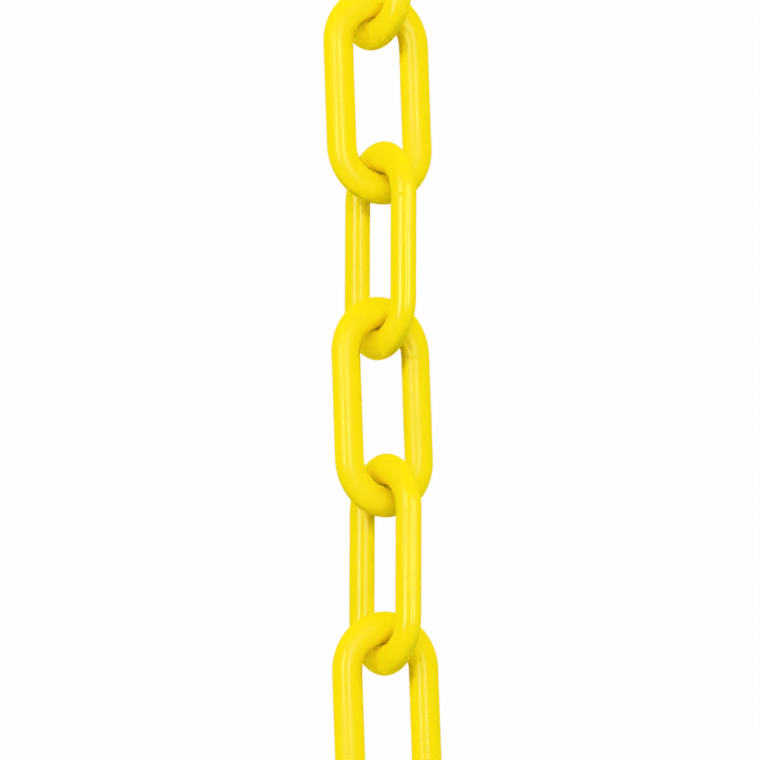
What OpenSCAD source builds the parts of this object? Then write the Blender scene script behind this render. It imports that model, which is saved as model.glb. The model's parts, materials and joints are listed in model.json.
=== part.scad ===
// Plastic barrier chain: a hanging length of one-piece moulded links.
// Each link is a closed oval loop of oval bar, threaded through the link above it
// and turned a quarter turn from it.
// The origin is the seat inside the top link's upper crown, where a hook would hold it,
// and the chain hangs down along -Z.

/* [Link] */
// Overall length of one link
link_length = 50.8; // [46:0.2:60]
// Overall width of one link
link_width = 27.0; // [25:0.2:30]
// Width of the bar, measured in the plane of the link
bar_width = 7.2; // [6.4:0.1:7.6]
// Thickness of the bar, measured across the plane of the link
bar_thickness = 5.4; // [4.8:0.1:5.6]
// Radius of the rounded inner and outer edges of the bar
edge_radius = 2.0; // [1.6:0.1:2.2]

/* [Chain] */
// Number of links in the length
link_count = 9; // [2:1:16]
// Clearance between two links where they hang on each other
hang_gap = 0.24; // [0.2:0.02:0.4]
// Angle that each link leans from the plumb line, to alternate sides
lean = 1.3; // [0:0.1:2]

/* [Colour] */
// Colour of the moulded plastic
chain_colour = "gold"; // [gold, yellow, orange, red, white]

/* [Hidden] */
$fn = 128;
// How far each link is turned about the plumb line from its square position, in degrees
link_turns = [0, 4, -2, 2, 6, 2, -2, 1, 3];

// Bar section: two flat-curved faces blended into two rounded edges
edge_x = bar_width / 2 - edge_radius;
face_radius = (edge_x ^ 2 + (bar_thickness / 2) ^ 2 - edge_radius ^ 2)
    / (bar_thickness - 2 * edge_radius);
face_drop = face_radius - bar_thickness / 2;
blend_x = edge_x * face_radius / (face_radius - edge_radius);

// Centreline of the loop: two half circles joined by two straight legs
crown_radius = (link_width - bar_width) / 2;
leg_length = link_length - link_width;

// Distance from a link's centre to the seat inside its crown, and to the middle of that bar
seat_reach = link_length / 2 - bar_width;
bar_reach = link_length / 2 - bar_width / 2;

// Spacing of the links, and the plumb line that they zigzag about
pitch = 2 * bar_reach * cos(lean) - bar_width - hang_gap;
line_x = seat_reach * sin(lean);
first_z = -seat_reach * cos(lean);

function is_odd(k) = k % 2 == 1;
function lean_of(k) = is_odd(k) ? -lean : lean;
function turn_of(k) = link_turns[(k - 1) % len(link_turns)] + (is_odd(k) ? 0 : 90);

// Oval cross-section of the bar, its width along X
module bar_section() {
    for (side = [-1, 1])
        translate([side * edge_x, 0])
            circle(r = edge_radius);
    intersection() {
        square([2 * blend_x, bar_thickness], center = true);
        translate([0, face_drop])
            circle(r = face_radius);
        translate([0, -face_drop])
            circle(r = face_radius);
    }
}

// Straight side of the loop
module leg() {
    linear_extrude(height = leg_length, center = true)
        bar_section();
}

// Half-round upper end of the loop, its ends on the XY plane
module crown() {
    rotate([90, 0, 0])
        rotate_extrude(angle = 180)
            translate([crown_radius, 0])
                bar_section();
}

// One whole link in the XZ plane, centred on the origin
module loop() {
    for (side = [-1, 1])
        translate([side * crown_radius, 0, 0])
            leg();
    for (end = [0, 1])
        mirror([0, 0, end])
            translate([0, 0, leg_length / 2])
                crown();
}

// Link number k of the chain in its hanging place, counted from the top
module chain_link(k) {
    color(chain_colour)
        translate([line_x, 0, first_z - (k - 1) * pitch])
            rotate([0, lean_of(k), 0])
                rotate([0, 0, turn_of(k)])
                    loop();
}

for (k = [1 : link_count])
    chain_link(k);
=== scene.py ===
"""A hanging length of yellow plastic barrier chain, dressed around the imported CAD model.

Each CAD link is replaced by a finely modelled one-piece moulding that rides on the same body:
an oval bar bent into a closed loop, with the thin parting line, gate mark and ejector-pin
marks that the mould leaves, and faces that are very slightly wavy.
"""

import json
import math

import bpy
import numpy as np
from mathutils import Matrix, Vector, noise


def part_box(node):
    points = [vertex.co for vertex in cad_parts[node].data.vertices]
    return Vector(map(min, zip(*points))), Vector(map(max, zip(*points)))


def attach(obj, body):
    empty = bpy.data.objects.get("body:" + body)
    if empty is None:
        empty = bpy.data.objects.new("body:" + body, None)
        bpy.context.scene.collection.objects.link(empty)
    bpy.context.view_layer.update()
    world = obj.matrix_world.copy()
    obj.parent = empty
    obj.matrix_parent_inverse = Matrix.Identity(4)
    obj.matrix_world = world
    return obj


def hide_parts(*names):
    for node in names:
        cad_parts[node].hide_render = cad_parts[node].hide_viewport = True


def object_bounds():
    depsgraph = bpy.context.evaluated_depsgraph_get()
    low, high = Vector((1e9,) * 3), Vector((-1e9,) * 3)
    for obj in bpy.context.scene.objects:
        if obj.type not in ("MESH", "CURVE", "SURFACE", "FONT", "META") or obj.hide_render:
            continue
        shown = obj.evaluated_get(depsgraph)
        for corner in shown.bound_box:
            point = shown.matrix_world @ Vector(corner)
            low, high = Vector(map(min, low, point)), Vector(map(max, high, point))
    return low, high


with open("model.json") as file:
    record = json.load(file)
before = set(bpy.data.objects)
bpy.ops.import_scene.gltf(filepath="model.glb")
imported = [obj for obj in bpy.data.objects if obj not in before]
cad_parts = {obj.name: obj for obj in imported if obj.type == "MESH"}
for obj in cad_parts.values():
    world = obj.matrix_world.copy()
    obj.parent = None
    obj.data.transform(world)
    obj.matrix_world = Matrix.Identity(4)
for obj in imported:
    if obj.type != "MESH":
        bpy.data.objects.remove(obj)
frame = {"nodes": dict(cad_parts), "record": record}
cad_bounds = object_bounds()

MM = 0.001

# ---------------------------------------------------------------- the moulding's own sizes, mm
EDGE_RADIUS = 2.0            # rounded inner and outer edges of the bar, as in the CAD section
PARTING_HEIGHT = 0.032       # thin ridge where the two mould halves met
PARTING_WIDTH = 0.10
WAVE_HEIGHT = 0.030          # slow waviness of the moulded faces
WAVE_LENGTH = 7.0
GATE_RADIUS = 0.55           # stub left where the plastic was fed in
GATE_HEIGHT = 0.16
GATE_DISH_RADIUS = 1.35      # shallow dish round the stub
GATE_DISH_DEPTH = 0.07
PIN_RADIUS = 1.15            # ejector-pin marks on the back of each crown
PIN_DEPTH = 0.06
EDGE_SOFTNESS = 0.12         # how sharply those marks step down
SEAT_BUILD = 0.120           # on both links, so that they bear on each other across the CAD's gap
CROWN_STEP = 0.60            # mesh spacing along the loop
LEG_STEP = 0.80
MARK_STEP = 0.13             # finer spacing across the marks
MARK_REACH = 1.6
EDGE_ANGLES = (0, 0.045, 0.09, 0.14, 0.22, 0.36)   # radians either side of the parting line
FACE_STEPS = 9               # mesh steps from the marks' reach to the rounded edge
FRONT_COARSENESS = 4         # the front face carries no marks, so its mesh is coarser
LEG_TOLERANCE = 0.05
PARTING_REACH = 1.0          # no ridge further than this from mid-thickness
PARTING_UNEVEN_LENGTH = 2.5  # over which the ridge grows and fades
NOISE_SHIFT = (13.7, 5.3, 2.9)   # moves each link's noise away from the last one's

# one mould cavity a link, each with its own polish
SKIN_ROUGHNESS = (0.20, 0.18, 0.26, 0.17, 0.25, 0.15, 0.20, 0.17, 0.22)

# ---------------------------------------------------------------- the plastic
PLASTIC_DARK = (0.795, 0.632, 0.0022)
PLASTIC_LIGHT = (0.805, 0.650, 0.0030)
PARTING_COLOUR = (0.840, 0.720, 0.040)
# rubbed wear and painted shade: the darker, more orange tone where the links rest in each other
SEAT_WEAR_AND_SHADE_COLOUR = (0.720, 0.550, 0.020)
STREAK_SCALE = 140.0         # noise scales, per metre
SEAT_GRAIN_SCALE = 1500.0
CLOUD_SCALE = 100.0
GLOSS_SCALE = 420.0
PEEL_SCALE = 650.0
GRAIN_SCALE = 4200.0
PATCH_SCALE = 90.0
CLOUD_STRETCH = 0.45         # the duller patches are longer down the chain
CLOUD_ROUGHNESS = 0.22       # these four: how much each changes the roughness, at most
GLOSS_VARIATION = 0.02
RUB_ROUGHNESS = 0.22
PARTING_ROUGHNESS = 0.12
CHATTER_PITCH = 0.85         # mm between tool marks
PEEL_SHARE = 0.75            # shares of the relief
GRAIN_SHARE = 0.12
CHATTER_SHARE = 0.50
BUMP_STRENGTH = 0.42
BUMP_DISTANCE = 0.00006      # m


# ---------------------------------------------------------------- reading a link from the frame
def own_axes(node):
    """Centre and own axes of a CAD link: columns are width, thickness and length directions."""
    mesh = frame["nodes"][node].data
    mesh.calc_loop_triangles()
    points = np.array([v.co for v in mesh.vertices], float)
    corners = points[np.array([t.vertices for t in mesh.loop_triangles])]
    middle = points.mean(0)
    a, b, c = (corners[:, i] - middle for i in range(3))
    volume = np.einsum("ij,ij->i", a, np.cross(b, c)) / 6
    whole = volume.sum()
    total = a + b + c
    centroid = (volume[:, None] * total).sum(0) / 4 / whole
    spread = sum(np.einsum("i,ij,ik->jk", volume, p, p) for p in (a, b, c, total)) / 20 / whole
    spread -= np.outer(centroid, centroid)
    _, columns = np.linalg.eigh(spread)
    thickness, width, length = (Vector(columns[:, i]) for i in range(3))
    if length.z < 0:
        length = -length
    if thickness.x + thickness.y < 0:
        thickness = -thickness
    width = thickness.cross(length).normalized()
    return Vector(middle + centroid), Matrix((width, thickness, length)).transposed()


def link_sizes(node, centre, axes):
    """(length, width, bar width, bar thickness) of a CAD link, in mm."""
    turned = axes.transposed()
    local = np.array([turned @ (v.co - centre) for v in frame["nodes"][node].data.vertices]) / MM
    reach = np.abs(local).max(0)
    length, width, thickness = 2 * reach[2], 2 * reach[0], 2 * reach[1]
    straight = np.abs(local[:, 2]) <= (length - width) / 2 + LEG_TOLERANCE
    bar = width / 2 - np.abs(local[straight, 0]).min()
    return length, width, bar, thickness


# ---------------------------------------------------------------- the moulded link
def oval_section(bar, thickness):
    """Points round the bar as (out, across, normal out, normal across), finer where marks are."""
    half_out, half_across = bar / 2, thickness / 2
    end_x = half_out - EDGE_RADIUS
    face_radius = (end_x ** 2 + half_across ** 2 - EDGE_RADIUS ** 2) / (thickness - 2 * EDGE_RADIUS)
    drop = face_radius - half_across
    blend = math.atan2(drop, end_x)
    angles = set()
    for side in (0, math.pi):
        for offset in EDGE_ANGLES:
            angles.update((side + offset, side - offset))
    for face in (math.pi / 2, -math.pi / 2):
        fine = MARK_STEP if face > 0 else FRONT_COARSENESS * MARK_STEP
        steps = int(MARK_REACH / fine)
        angles.update(face + i * fine / face_radius for i in range(-steps, steps + 1))
        wide = MARK_REACH / face_radius
        rest = math.pi / 2 - EDGE_ANGLES[-1] - wide
        angles.update(face + side * (wide + i * rest / FACE_STEPS)
                      for side in (-1, 1) for i in range(1, FACE_STEPS))
    section = []
    for angle in sorted(a % (2 * math.pi) for a in angles):
        out, across = math.cos(angle), math.sin(angle)
        if math.atan2(abs(across), abs(out)) <= blend:
            x = math.copysign(end_x, out) + EDGE_RADIUS * out
            y = EDGE_RADIUS * across
        else:
            x = face_radius * out
            y = face_radius * across - math.copysign(drop, across)
        section.append((x, y, out, across))
    return section


def spaced(start, stop, step, marks):
    """Positions from start up to stop, about step apart, and MARK_STEP apart round each mark."""
    places = set(np.linspace(start, stop, max(2, round((stop - start) / step)), endpoint=False))
    for mark in marks:
        places = {p for p in places if abs(p - mark) > MARK_REACH or p == start}
        count = int(MARK_REACH / MARK_STEP)
        places.update(mark + i * MARK_STEP for i in range(-count, count + 1))
    return sorted(places)


def loop_stations(length, width, bar):
    """Stations round the loop: (centre x, centre z, normal x, normal z, distance along, bend)."""
    radius = (width - bar) / 2
    leg = length - width
    turn = math.pi * radius
    stations = []
    for half in (0, 1):
        flip = -1 if half else 1
        base = half * (turn + leg)
        for along in spaced(0, turn, CROWN_STEP, [turn / 2]):
            angle = along / radius
            nx, nz = flip * math.cos(angle), flip * math.sin(angle)
            stations.append((radius * nx, flip * leg / 2 + radius * nz, nx, nz, base + along,
                             math.sin(angle)))
        for along in spaced(0, leg, LEG_STEP, [leg / 2] if half == 0 else []):
            stations.append((-flip * radius, flip * (leg / 2 - along), -flip, 0.0,
                             base + turn + along, 0.0))
    return stations, radius, leg


def step_down(distance, edge):
    """1 inside edge, 0 outside it, with a soft step between."""
    t = min(1.0, max(0.0, (edge - distance) / EDGE_SOFTNESS + 0.5))
    return t * t * (3 - 2 * t)


def mark_relief(out, across, along, radius, leg):
    """Height of the gate and ejector-pin marks on the back face at a point, in mm."""
    if across < 0:
        return 0.0
    turn = math.pi * radius
    to_gate = math.hypot(out, along - (turn + leg / 2))
    height = GATE_HEIGHT * step_down(to_gate, GATE_RADIUS)
    height -= GATE_DISH_DEPTH * step_down(to_gate, GATE_DISH_RADIUS)
    for middle in (turn / 2, turn + leg + turn / 2):
        height -= PIN_DEPTH * step_down(math.hypot(out, along - middle), PIN_RADIUS)
    return height


def moulded_link(name, node, seed, skin_roughness):
    """A finely meshed link in the place and at the size of the CAD node."""
    centre, axes = own_axes(node)
    length, width, bar, thickness = link_sizes(node, centre, axes)
    section = oval_section(bar, thickness)
    stations, radius, leg = loop_stations(length, width, bar)
    points, seats, partings, faces_flat, alongs = [], [], [], [], []
    shift = Vector([step * seed for step in NOISE_SHIFT])
    for cx, cz, nx, nz, along, bend in stations:
        for out, across, normal_out, normal_across in section:
            plain = Vector((cx + nx * out, across, cz + nz * out))
            near = abs(across) < PARTING_REACH
            ridge = math.exp(-(across / PARTING_WIDTH) ** 2) if near else 0.0
            uneven = 0.75 + 0.5 * noise.noise(plain / PARTING_UNEVEN_LENGTH + shift)
            lift = PARTING_HEIGHT * ridge * uneven
            inward = max(0.0, -normal_out)
            lift += WAVE_HEIGHT * noise.noise(plain / WAVE_LENGTH + shift) * (1 - inward * bend)
            lift += mark_relief(out, across, along, radius, leg)
            lift += SEAT_BUILD * inward ** 2 * bend ** 4
            points.append(plain + lift * Vector((nx * normal_out, normal_across, nz * normal_out)))
            seats.append(inward * bend ** 3)
            partings.append(ridge)
            faces_flat.append(normal_across ** 2 * (1 - bend))
            alongs.append(along)
    around, count = len(section), len(stations)
    quads = []
    for i in range(count):
        j = (i + 1) % count
        for k in range(around):
            m = (k + 1) % around
            quads.append((i * around + k, i * around + m, j * around + m, j * around + k))
    mesh = bpy.data.meshes.new(name)
    place = Matrix.Translation(centre) @ axes.to_4x4() @ Matrix.Scale(MM, 4)
    mesh.from_pydata([place @ p for p in points], [], quads)
    for label, values in (("seat", seats), ("parting", partings), ("face", faces_flat),
                          ("along", alongs), ("skin", [skin_roughness] * len(points))):
        layer = mesh.attributes.new(label, "FLOAT", "POINT")
        layer.data.foreach_set("value", np.array(values, np.float32))
    mesh.polygons.foreach_set("use_smooth", [True] * len(quads))
    mesh.validate()
    mesh.update()
    piece = bpy.data.objects.new(name, mesh)
    bpy.context.scene.collection.objects.link(piece)
    return piece


# ---------------------------------------------------------------- material
class Nodes:
    """Short way to add and join shader nodes."""

    def __init__(self, tree):
        self.tree = tree

    def add(self, kind, **settings):
        node = self.tree.nodes.new(kind)
        for key, value in settings.items():
            if hasattr(node, key):
                setattr(node, key, value)
            else:
                node.inputs[key.replace("_", " ")].default_value = value
        return node

    def join(self, source, target):
        self.tree.links.new(source, target)

    def math(self, operation, a, b):
        node = self.add("ShaderNodeMath", operation=operation)
        for socket, value in zip(node.inputs, (a, b)):
            if isinstance(value, (int, float)):
                socket.default_value = value
            else:
                self.join(value, socket)
        return node.outputs[0]

    def noise(self, place, scale, detail=3.0, roughness=0.5):
        node = self.add("ShaderNodeTexNoise", Scale=scale, Detail=detail, Roughness=roughness)
        self.join(place, node.inputs["Vector"])
        return node.outputs["Fac"]

    def ramp(self, value, low, high, out_low, out_high):
        node = self.add("ShaderNodeMapRange", From_Min=low, From_Max=high, To_Min=out_low,
                        To_Max=out_high)
        self.join(value, node.inputs["Value"])
        return node.outputs["Result"]

    def mix(self, factor, first, second):
        node = self.add("ShaderNodeMix", data_type="RGBA")
        self.join(factor, node.inputs[0])
        for socket, value in ((node.inputs[6], first), (node.inputs[7], second)):
            if isinstance(value, tuple):
                socket.default_value = (*value, 1.0)
            else:
                self.join(value, socket)
        return node.outputs[2]


def moulded_plastic():
    """Glossy yellow polyethylene, coloured through, with the marks of moulding and light use, and
    painted shade at the seats where the links rest in each other.
    """
    material = bpy.data.materials.new("moulded_yellow_plastic")
    material.use_nodes = True
    tree = material.node_tree
    tree.nodes.clear()
    n = Nodes(tree)
    place = n.add("ShaderNodeTexCoord").outputs["Object"]
    seat, parting, face, along, skin = (
        n.add("ShaderNodeAttribute", attribute_name=label).outputs["Fac"]
        for label in ("seat", "parting", "face", "along", "skin"))

    # colour: a deep yellow with faint flow streaks, paler on the parting line, and darker and more
    # orange at the seats, as rubbed wear and painted shade where the links rest in each other
    streaks = n.ramp(n.noise(place, STREAK_SCALE, 4.0, 0.6), 0.35, 0.65, 0.0, 1.0)
    colour = n.mix(streaks, PLASTIC_DARK, PLASTIC_LIGHT)
    colour = n.mix(n.math("MULTIPLY", parting, 0.35), colour, PARTING_COLOUR)
    seat_grain = n.ramp(n.noise(place, SEAT_GRAIN_SCALE, 4.0, 0.7), 0.40, 0.70, 0.2, 1.0)
    seat_wear_and_shade = n.math("MULTIPLY", seat, seat_grain)
    # painted shade with rubbed wear: the seats, where the links rest in each other, are mixed
    # towards a darker, more orange yellow
    colour = n.mix(n.math("MULTIPLY", seat_wear_and_shade, 0.30), colour, SEAT_WEAR_AND_SHADE_COLOUR)

    # roughness: each link's own skin with duller patches, and duller at the seats and parting line
    flow = n.add("ShaderNodeMapping", Scale=(1.0, 1.0, CLOUD_STRETCH))
    n.join(place, flow.inputs["Vector"])
    clouds = n.noise(flow.outputs[0], CLOUD_SCALE, 1.0, 0.4)
    cloudy = n.ramp(clouds, 0.45, 0.68, 0.0, CLOUD_ROUGHNESS)
    gloss_noise = n.ramp(n.noise(place, GLOSS_SCALE, 2.0, 0.5), 0.3, 0.7, -GLOSS_VARIATION,
                         GLOSS_VARIATION)
    rough = n.math("ADD", n.math("ADD", skin, cloudy), gloss_noise)
    rough = n.math("ADD", rough, n.math("MULTIPLY", seat_wear_and_shade, RUB_ROUGHNESS))
    rough = n.math("ADD", rough, n.math("MULTIPLY", parting, PARTING_ROUGHNESS))

    # relief: orange-peel skin, and fine tool chatter across the flat faces of the legs
    peel = n.noise(place, PEEL_SCALE, 2.0, 0.5)
    grain = n.noise(place, GRAIN_SCALE, 2.0, 0.5)
    chatter_wave = n.math("SINE", n.math("MULTIPLY", along, 2 * math.pi / CHATTER_PITCH), 0.0)
    patchy = n.ramp(n.noise(place, PATCH_SCALE, 2.0, 0.5), 0.48, 0.62, 0.0, 1.0)
    chatter = n.math("MULTIPLY", n.math("MULTIPLY", chatter_wave, face), patchy)
    height = n.math("ADD", n.math("MULTIPLY", peel, PEEL_SHARE),
                    n.math("MULTIPLY", grain, GRAIN_SHARE))
    height = n.math("ADD", height, n.math("MULTIPLY", chatter, CHATTER_SHARE))
    bump = n.add("ShaderNodeBump", Strength=BUMP_STRENGTH, Distance=BUMP_DISTANCE)
    n.join(height, bump.inputs["Height"])

    shader = n.add("ShaderNodeBsdfPrincipled")
    shader.inputs["IOR"].default_value = 1.50
    shader.inputs["Subsurface Weight"].default_value = 0.08
    shader.inputs["Subsurface Radius"].default_value = (1.0, 0.65, 0.05)
    shader.inputs["Subsurface Scale"].default_value = 0.0005
    n.join(colour, shader.inputs["Base Color"])
    n.join(rough, shader.inputs["Roughness"])
    n.join(bump.outputs["Normal"], shader.inputs["Normal"])
    output = n.add("ShaderNodeOutputMaterial")
    n.join(shader.outputs[0], output.inputs["Surface"])
    return material


# ---------------------------------------------------------------- dress the chain
plastic = moulded_plastic()
links = {}
body_of = {node: body for body, nodes in frame["record"]["behaviour"]["bodies"].items()
           for node in nodes}
for number, node in enumerate(sorted(frame["nodes"])):
    link = moulded_link("moulded_" + node, node, number, SKIN_ROUGHNESS[number])
    link.data.materials.append(plastic)
    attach(link, body_of[node])
    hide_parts(node)
    links[node] = link


# ---------------------------------------------------------------- floor, light and camera
def look_matrix(target, azimuth, elevation, roll, distance):
    """World matrix of something at that angle and distance from target, looking at it."""
    a, e, r = (math.radians(v) for v in (azimuth, elevation, roll))
    back = Vector((math.sin(a) * math.cos(e), -math.cos(a) * math.cos(e), math.sin(e)))
    right = Vector((math.cos(a), math.sin(a), 0.0))
    up = back.cross(right)
    turned_right = math.cos(r) * right + math.sin(r) * up
    turned_up = back.cross(turned_right)
    basis = Matrix((turned_right, turned_up, back)).transposed().to_4x4()
    return Matrix.Translation(target + back * distance) @ basis


FLOOR_DROP = 0.06            # m below the chain's lowest link
FLOOR_RADIUS = 1.3
FLOOR_SIDES = 96
CARD_DISTANCE = 1.2          # m
PANEL_DISTANCE = 1.7
PANEL_WIDTH = 1.0
PANEL_HEIGHT = 1.1
RING_RADIANCES = (3.5, 3.0, 2.6, 2.4, 2.3, 2.4, 2.7, 3.7)  # anticlockwise from the camera
RING_ELEVATION = 18.0        # degrees
END_PANELS = (               # name, azimuth from the camera, elevation, radiance
    ("top_front", 0.0, 62.0, 2.4),
    ("top_back", 180.0, 62.0, 2.4),
    ("under_front", 0.0, -55.0, 3.0),
    ("under_back", 180.0, -55.0, 3.0),
)
BACKGROUND = 0.991           # brightness of the surround and floor as the camera sees them
GLOSS_FILL = 0.80            # how bright the surround is in reflections
GLOSS_TINT = (1.0, 0.82, 0.02, 1.0)
CARD_HEIGHT = 0.72
CARD_ELEVATION = 5.0
REFLECTED_CARDS = (          # name, azimuth from the camera, width in m, radiance, who shows it
    ("card_far_left_even", -56.0, 0.36, 4.4, "even_links"),
    ("card_left_even", -8.0, 0.28, 5.6, "even_links"),
    ("card_left_odd", -8.0, 0.28, 4.0, "odd_links"),
    ("card_right_even", 28.0, 0.30, 5.6, "even_links"),
    ("card_right_odd", 28.0, 0.30, 4.0, "odd_links"),
)
RESPONSE = (                 # curve number (red, green), then points in and out
    (0, ((0.38, 0.37), (0.60, 0.68), (0.74, 0.88), (0.84, 0.94), (0.96, 0.966))),
    (1, ((0.30, 0.29), (0.46, 0.52), (0.58, 0.705), (0.68, 0.758), (0.79, 0.785), (0.86, 0.860))),
)
VIEW_AZIMUTH = -30.4         # camera angle, degrees
VIEW_ELEVATION = -5.1
VIEW_ROLL = -0.87
VIEW_DISTANCE = 0.766        # m
VIEW_HEIGHT = 0.1747         # m of the object that the picture is high
MIDDLE_LINK = "link_5"
AIM_ABOVE_MIDDLE_LINK = 0.0062
AIM_LEFT = 0.0005


def make_floor():
    """A plain round floor that glows evenly, as bright as the surround, and lights nothing."""
    height = cad_bounds[0].z - FLOOR_DROP
    turns = [2 * math.pi * i / FLOOR_SIDES for i in range(FLOOR_SIDES)]
    rim = [(FLOOR_RADIUS * math.cos(t), FLOOR_RADIUS * math.sin(t), height) for t in turns]
    mesh = bpy.data.meshes.new("floor")
    mesh.from_pydata(rim, [], [range(FLOOR_SIDES)])
    floor = bpy.data.objects.new("floor", mesh)
    bpy.context.scene.collection.objects.link(floor)
    material = bpy.data.materials.new("pale_floor")
    material.use_nodes = True
    shader = material.node_tree.nodes["Principled BSDF"]
    shader.inputs["Base Color"].default_value = (0.0, 0.0, 0.0, 1.0)
    shader.inputs["Specular IOR Level"].default_value = 0.0
    shader.inputs["Emission Color"].default_value = (1.0, 1.0, 1.0, 1.0)
    shader.inputs["Emission Strength"].default_value = BACKGROUND
    mesh.materials.append(material)
    floor.visible_glossy = False
    floor.visible_diffuse = False
    floor.visible_shadow = False


def softbox(name, target, azimuth, elevation, distance, width, height, radiance, lights_matt):
    """A soft rectangular light at an angle round the target, as bright as its radiance.

    With lights_matt False it only shows as a reflection, like a card seen in the gloss."""
    data = bpy.data.lights.new(name, "AREA")
    data.shape = "RECTANGLE"
    data.size, data.size_y = width, height
    data.energy = radiance * math.pi * width * height
    lamp = bpy.data.objects.new(name, data)
    bpy.context.scene.collection.objects.link(lamp)
    lamp.matrix_world = look_matrix(target, azimuth, elevation, 0.0, distance)
    lamp.visible_camera = False
    lamp.visible_diffuse = lights_matt
    return lamp


def show_only_matt(panel):
    """Keep a panel out of the plastic's gloss, in direct and in bounced light."""
    panel.visible_glossy = False
    panel.data.cycles.use_multiple_importance_sampling = False


def make_world():
    """A surround that is white to the camera, yellowish in the gloss and dark to other rays."""
    world = bpy.data.worlds.new("white_surround")
    bpy.context.scene.world = world
    world.use_nodes = True
    tree = world.node_tree
    tree.nodes.clear()
    n = Nodes(tree)
    path = n.add("ShaderNodeLightPath")
    dark = n.add("ShaderNodeBackground", Color=(1.0, 1.0, 1.0, 1.0), Strength=0.0)
    gloss = n.add("ShaderNodeBackground", Color=GLOSS_TINT, Strength=GLOSS_FILL)
    seen = n.add("ShaderNodeBackground", Color=(1.0, 1.0, 1.0, 1.0), Strength=BACKGROUND)
    glossy = n.add("ShaderNodeMixShader")
    n.join(path.outputs["Is Glossy Ray"], glossy.inputs[0])
    n.join(dark.outputs[0], glossy.inputs[1])
    n.join(gloss.outputs[0], glossy.inputs[2])
    camera = n.add("ShaderNodeMixShader")
    n.join(path.outputs["Is Camera Ray"], camera.inputs[0])
    n.join(glossy.outputs[0], camera.inputs[1])
    n.join(seen.outputs[0], camera.inputs[2])
    world.cycles.sampling_method = "NONE"
    output = n.add("ShaderNodeOutputWorld")
    n.join(camera.outputs[0], output.inputs["Surface"])


def make_camera(target):
    """A long lens at the photograph's angle, all in focus."""
    data = bpy.data.cameras.new("camera")
    data.sensor_width = 36.0
    data.lens = data.sensor_width * VIEW_DISTANCE / VIEW_HEIGHT
    data.dof.use_dof = False
    data.clip_start, data.clip_end = 0.01, 50.0
    camera = bpy.data.objects.new("camera", data)
    bpy.context.scene.collection.objects.link(camera)
    camera.matrix_world = look_matrix(target, VIEW_AZIMUTH, VIEW_ELEVATION, VIEW_ROLL,
                                      VIEW_DISTANCE)
    bpy.context.scene.camera = camera


def set_response():
    """Standard view, with the photograph's strong flattening of bright yellow."""
    view = bpy.context.scene.view_settings
    view.view_transform = "Standard"
    view.use_curve_mapping = True
    mapping = view.curve_mapping
    for channel, places in RESPONSE:
        curve = mapping.curves[channel]
        for place in places:
            curve.points.new(*place)
    mapping.update()


middle_low, middle_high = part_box(MIDDLE_LINK)
aim = (middle_low + middle_high) / 2 + Vector((0.0, 0.0, AIM_ABOVE_MIDDLE_LINK))
turn = math.radians(VIEW_AZIMUTH)
aim -= AIM_LEFT * Vector((math.cos(turn), math.sin(turn), 0.0))
make_floor()
make_world()
link_groups = {name: bpy.data.collections.new(name) for name in ("even_links", "odd_links")}
for node, link in links.items():
    odd = int(node.split("_")[1]) % 2
    link_groups["odd_links" if odd else "even_links"].objects.link(link)
for name, offset, width, radiance, group in REFLECTED_CARDS:
    card = softbox(name, aim, VIEW_AZIMUTH + offset, CARD_ELEVATION, CARD_DISTANCE, width,
                   CARD_HEIGHT, radiance, False)
    card.light_linking.receiver_collection = link_groups[group]
for number, radiance in enumerate(RING_RADIANCES):
    azimuth = VIEW_AZIMUTH + number * 360 / len(RING_RADIANCES)
    panel = softbox("panel_%d" % number, aim, azimuth, RING_ELEVATION, PANEL_DISTANCE,
                    PANEL_WIDTH, PANEL_HEIGHT, radiance, True)
    show_only_matt(panel)
for label, offset, elevation, radiance in END_PANELS:
    panel = softbox("panel_" + label, aim, VIEW_AZIMUTH + offset, elevation, PANEL_DISTANCE,
                    PANEL_WIDTH, PANEL_HEIGHT, radiance, True)
    show_only_matt(panel)
make_camera(aim)
set_response()
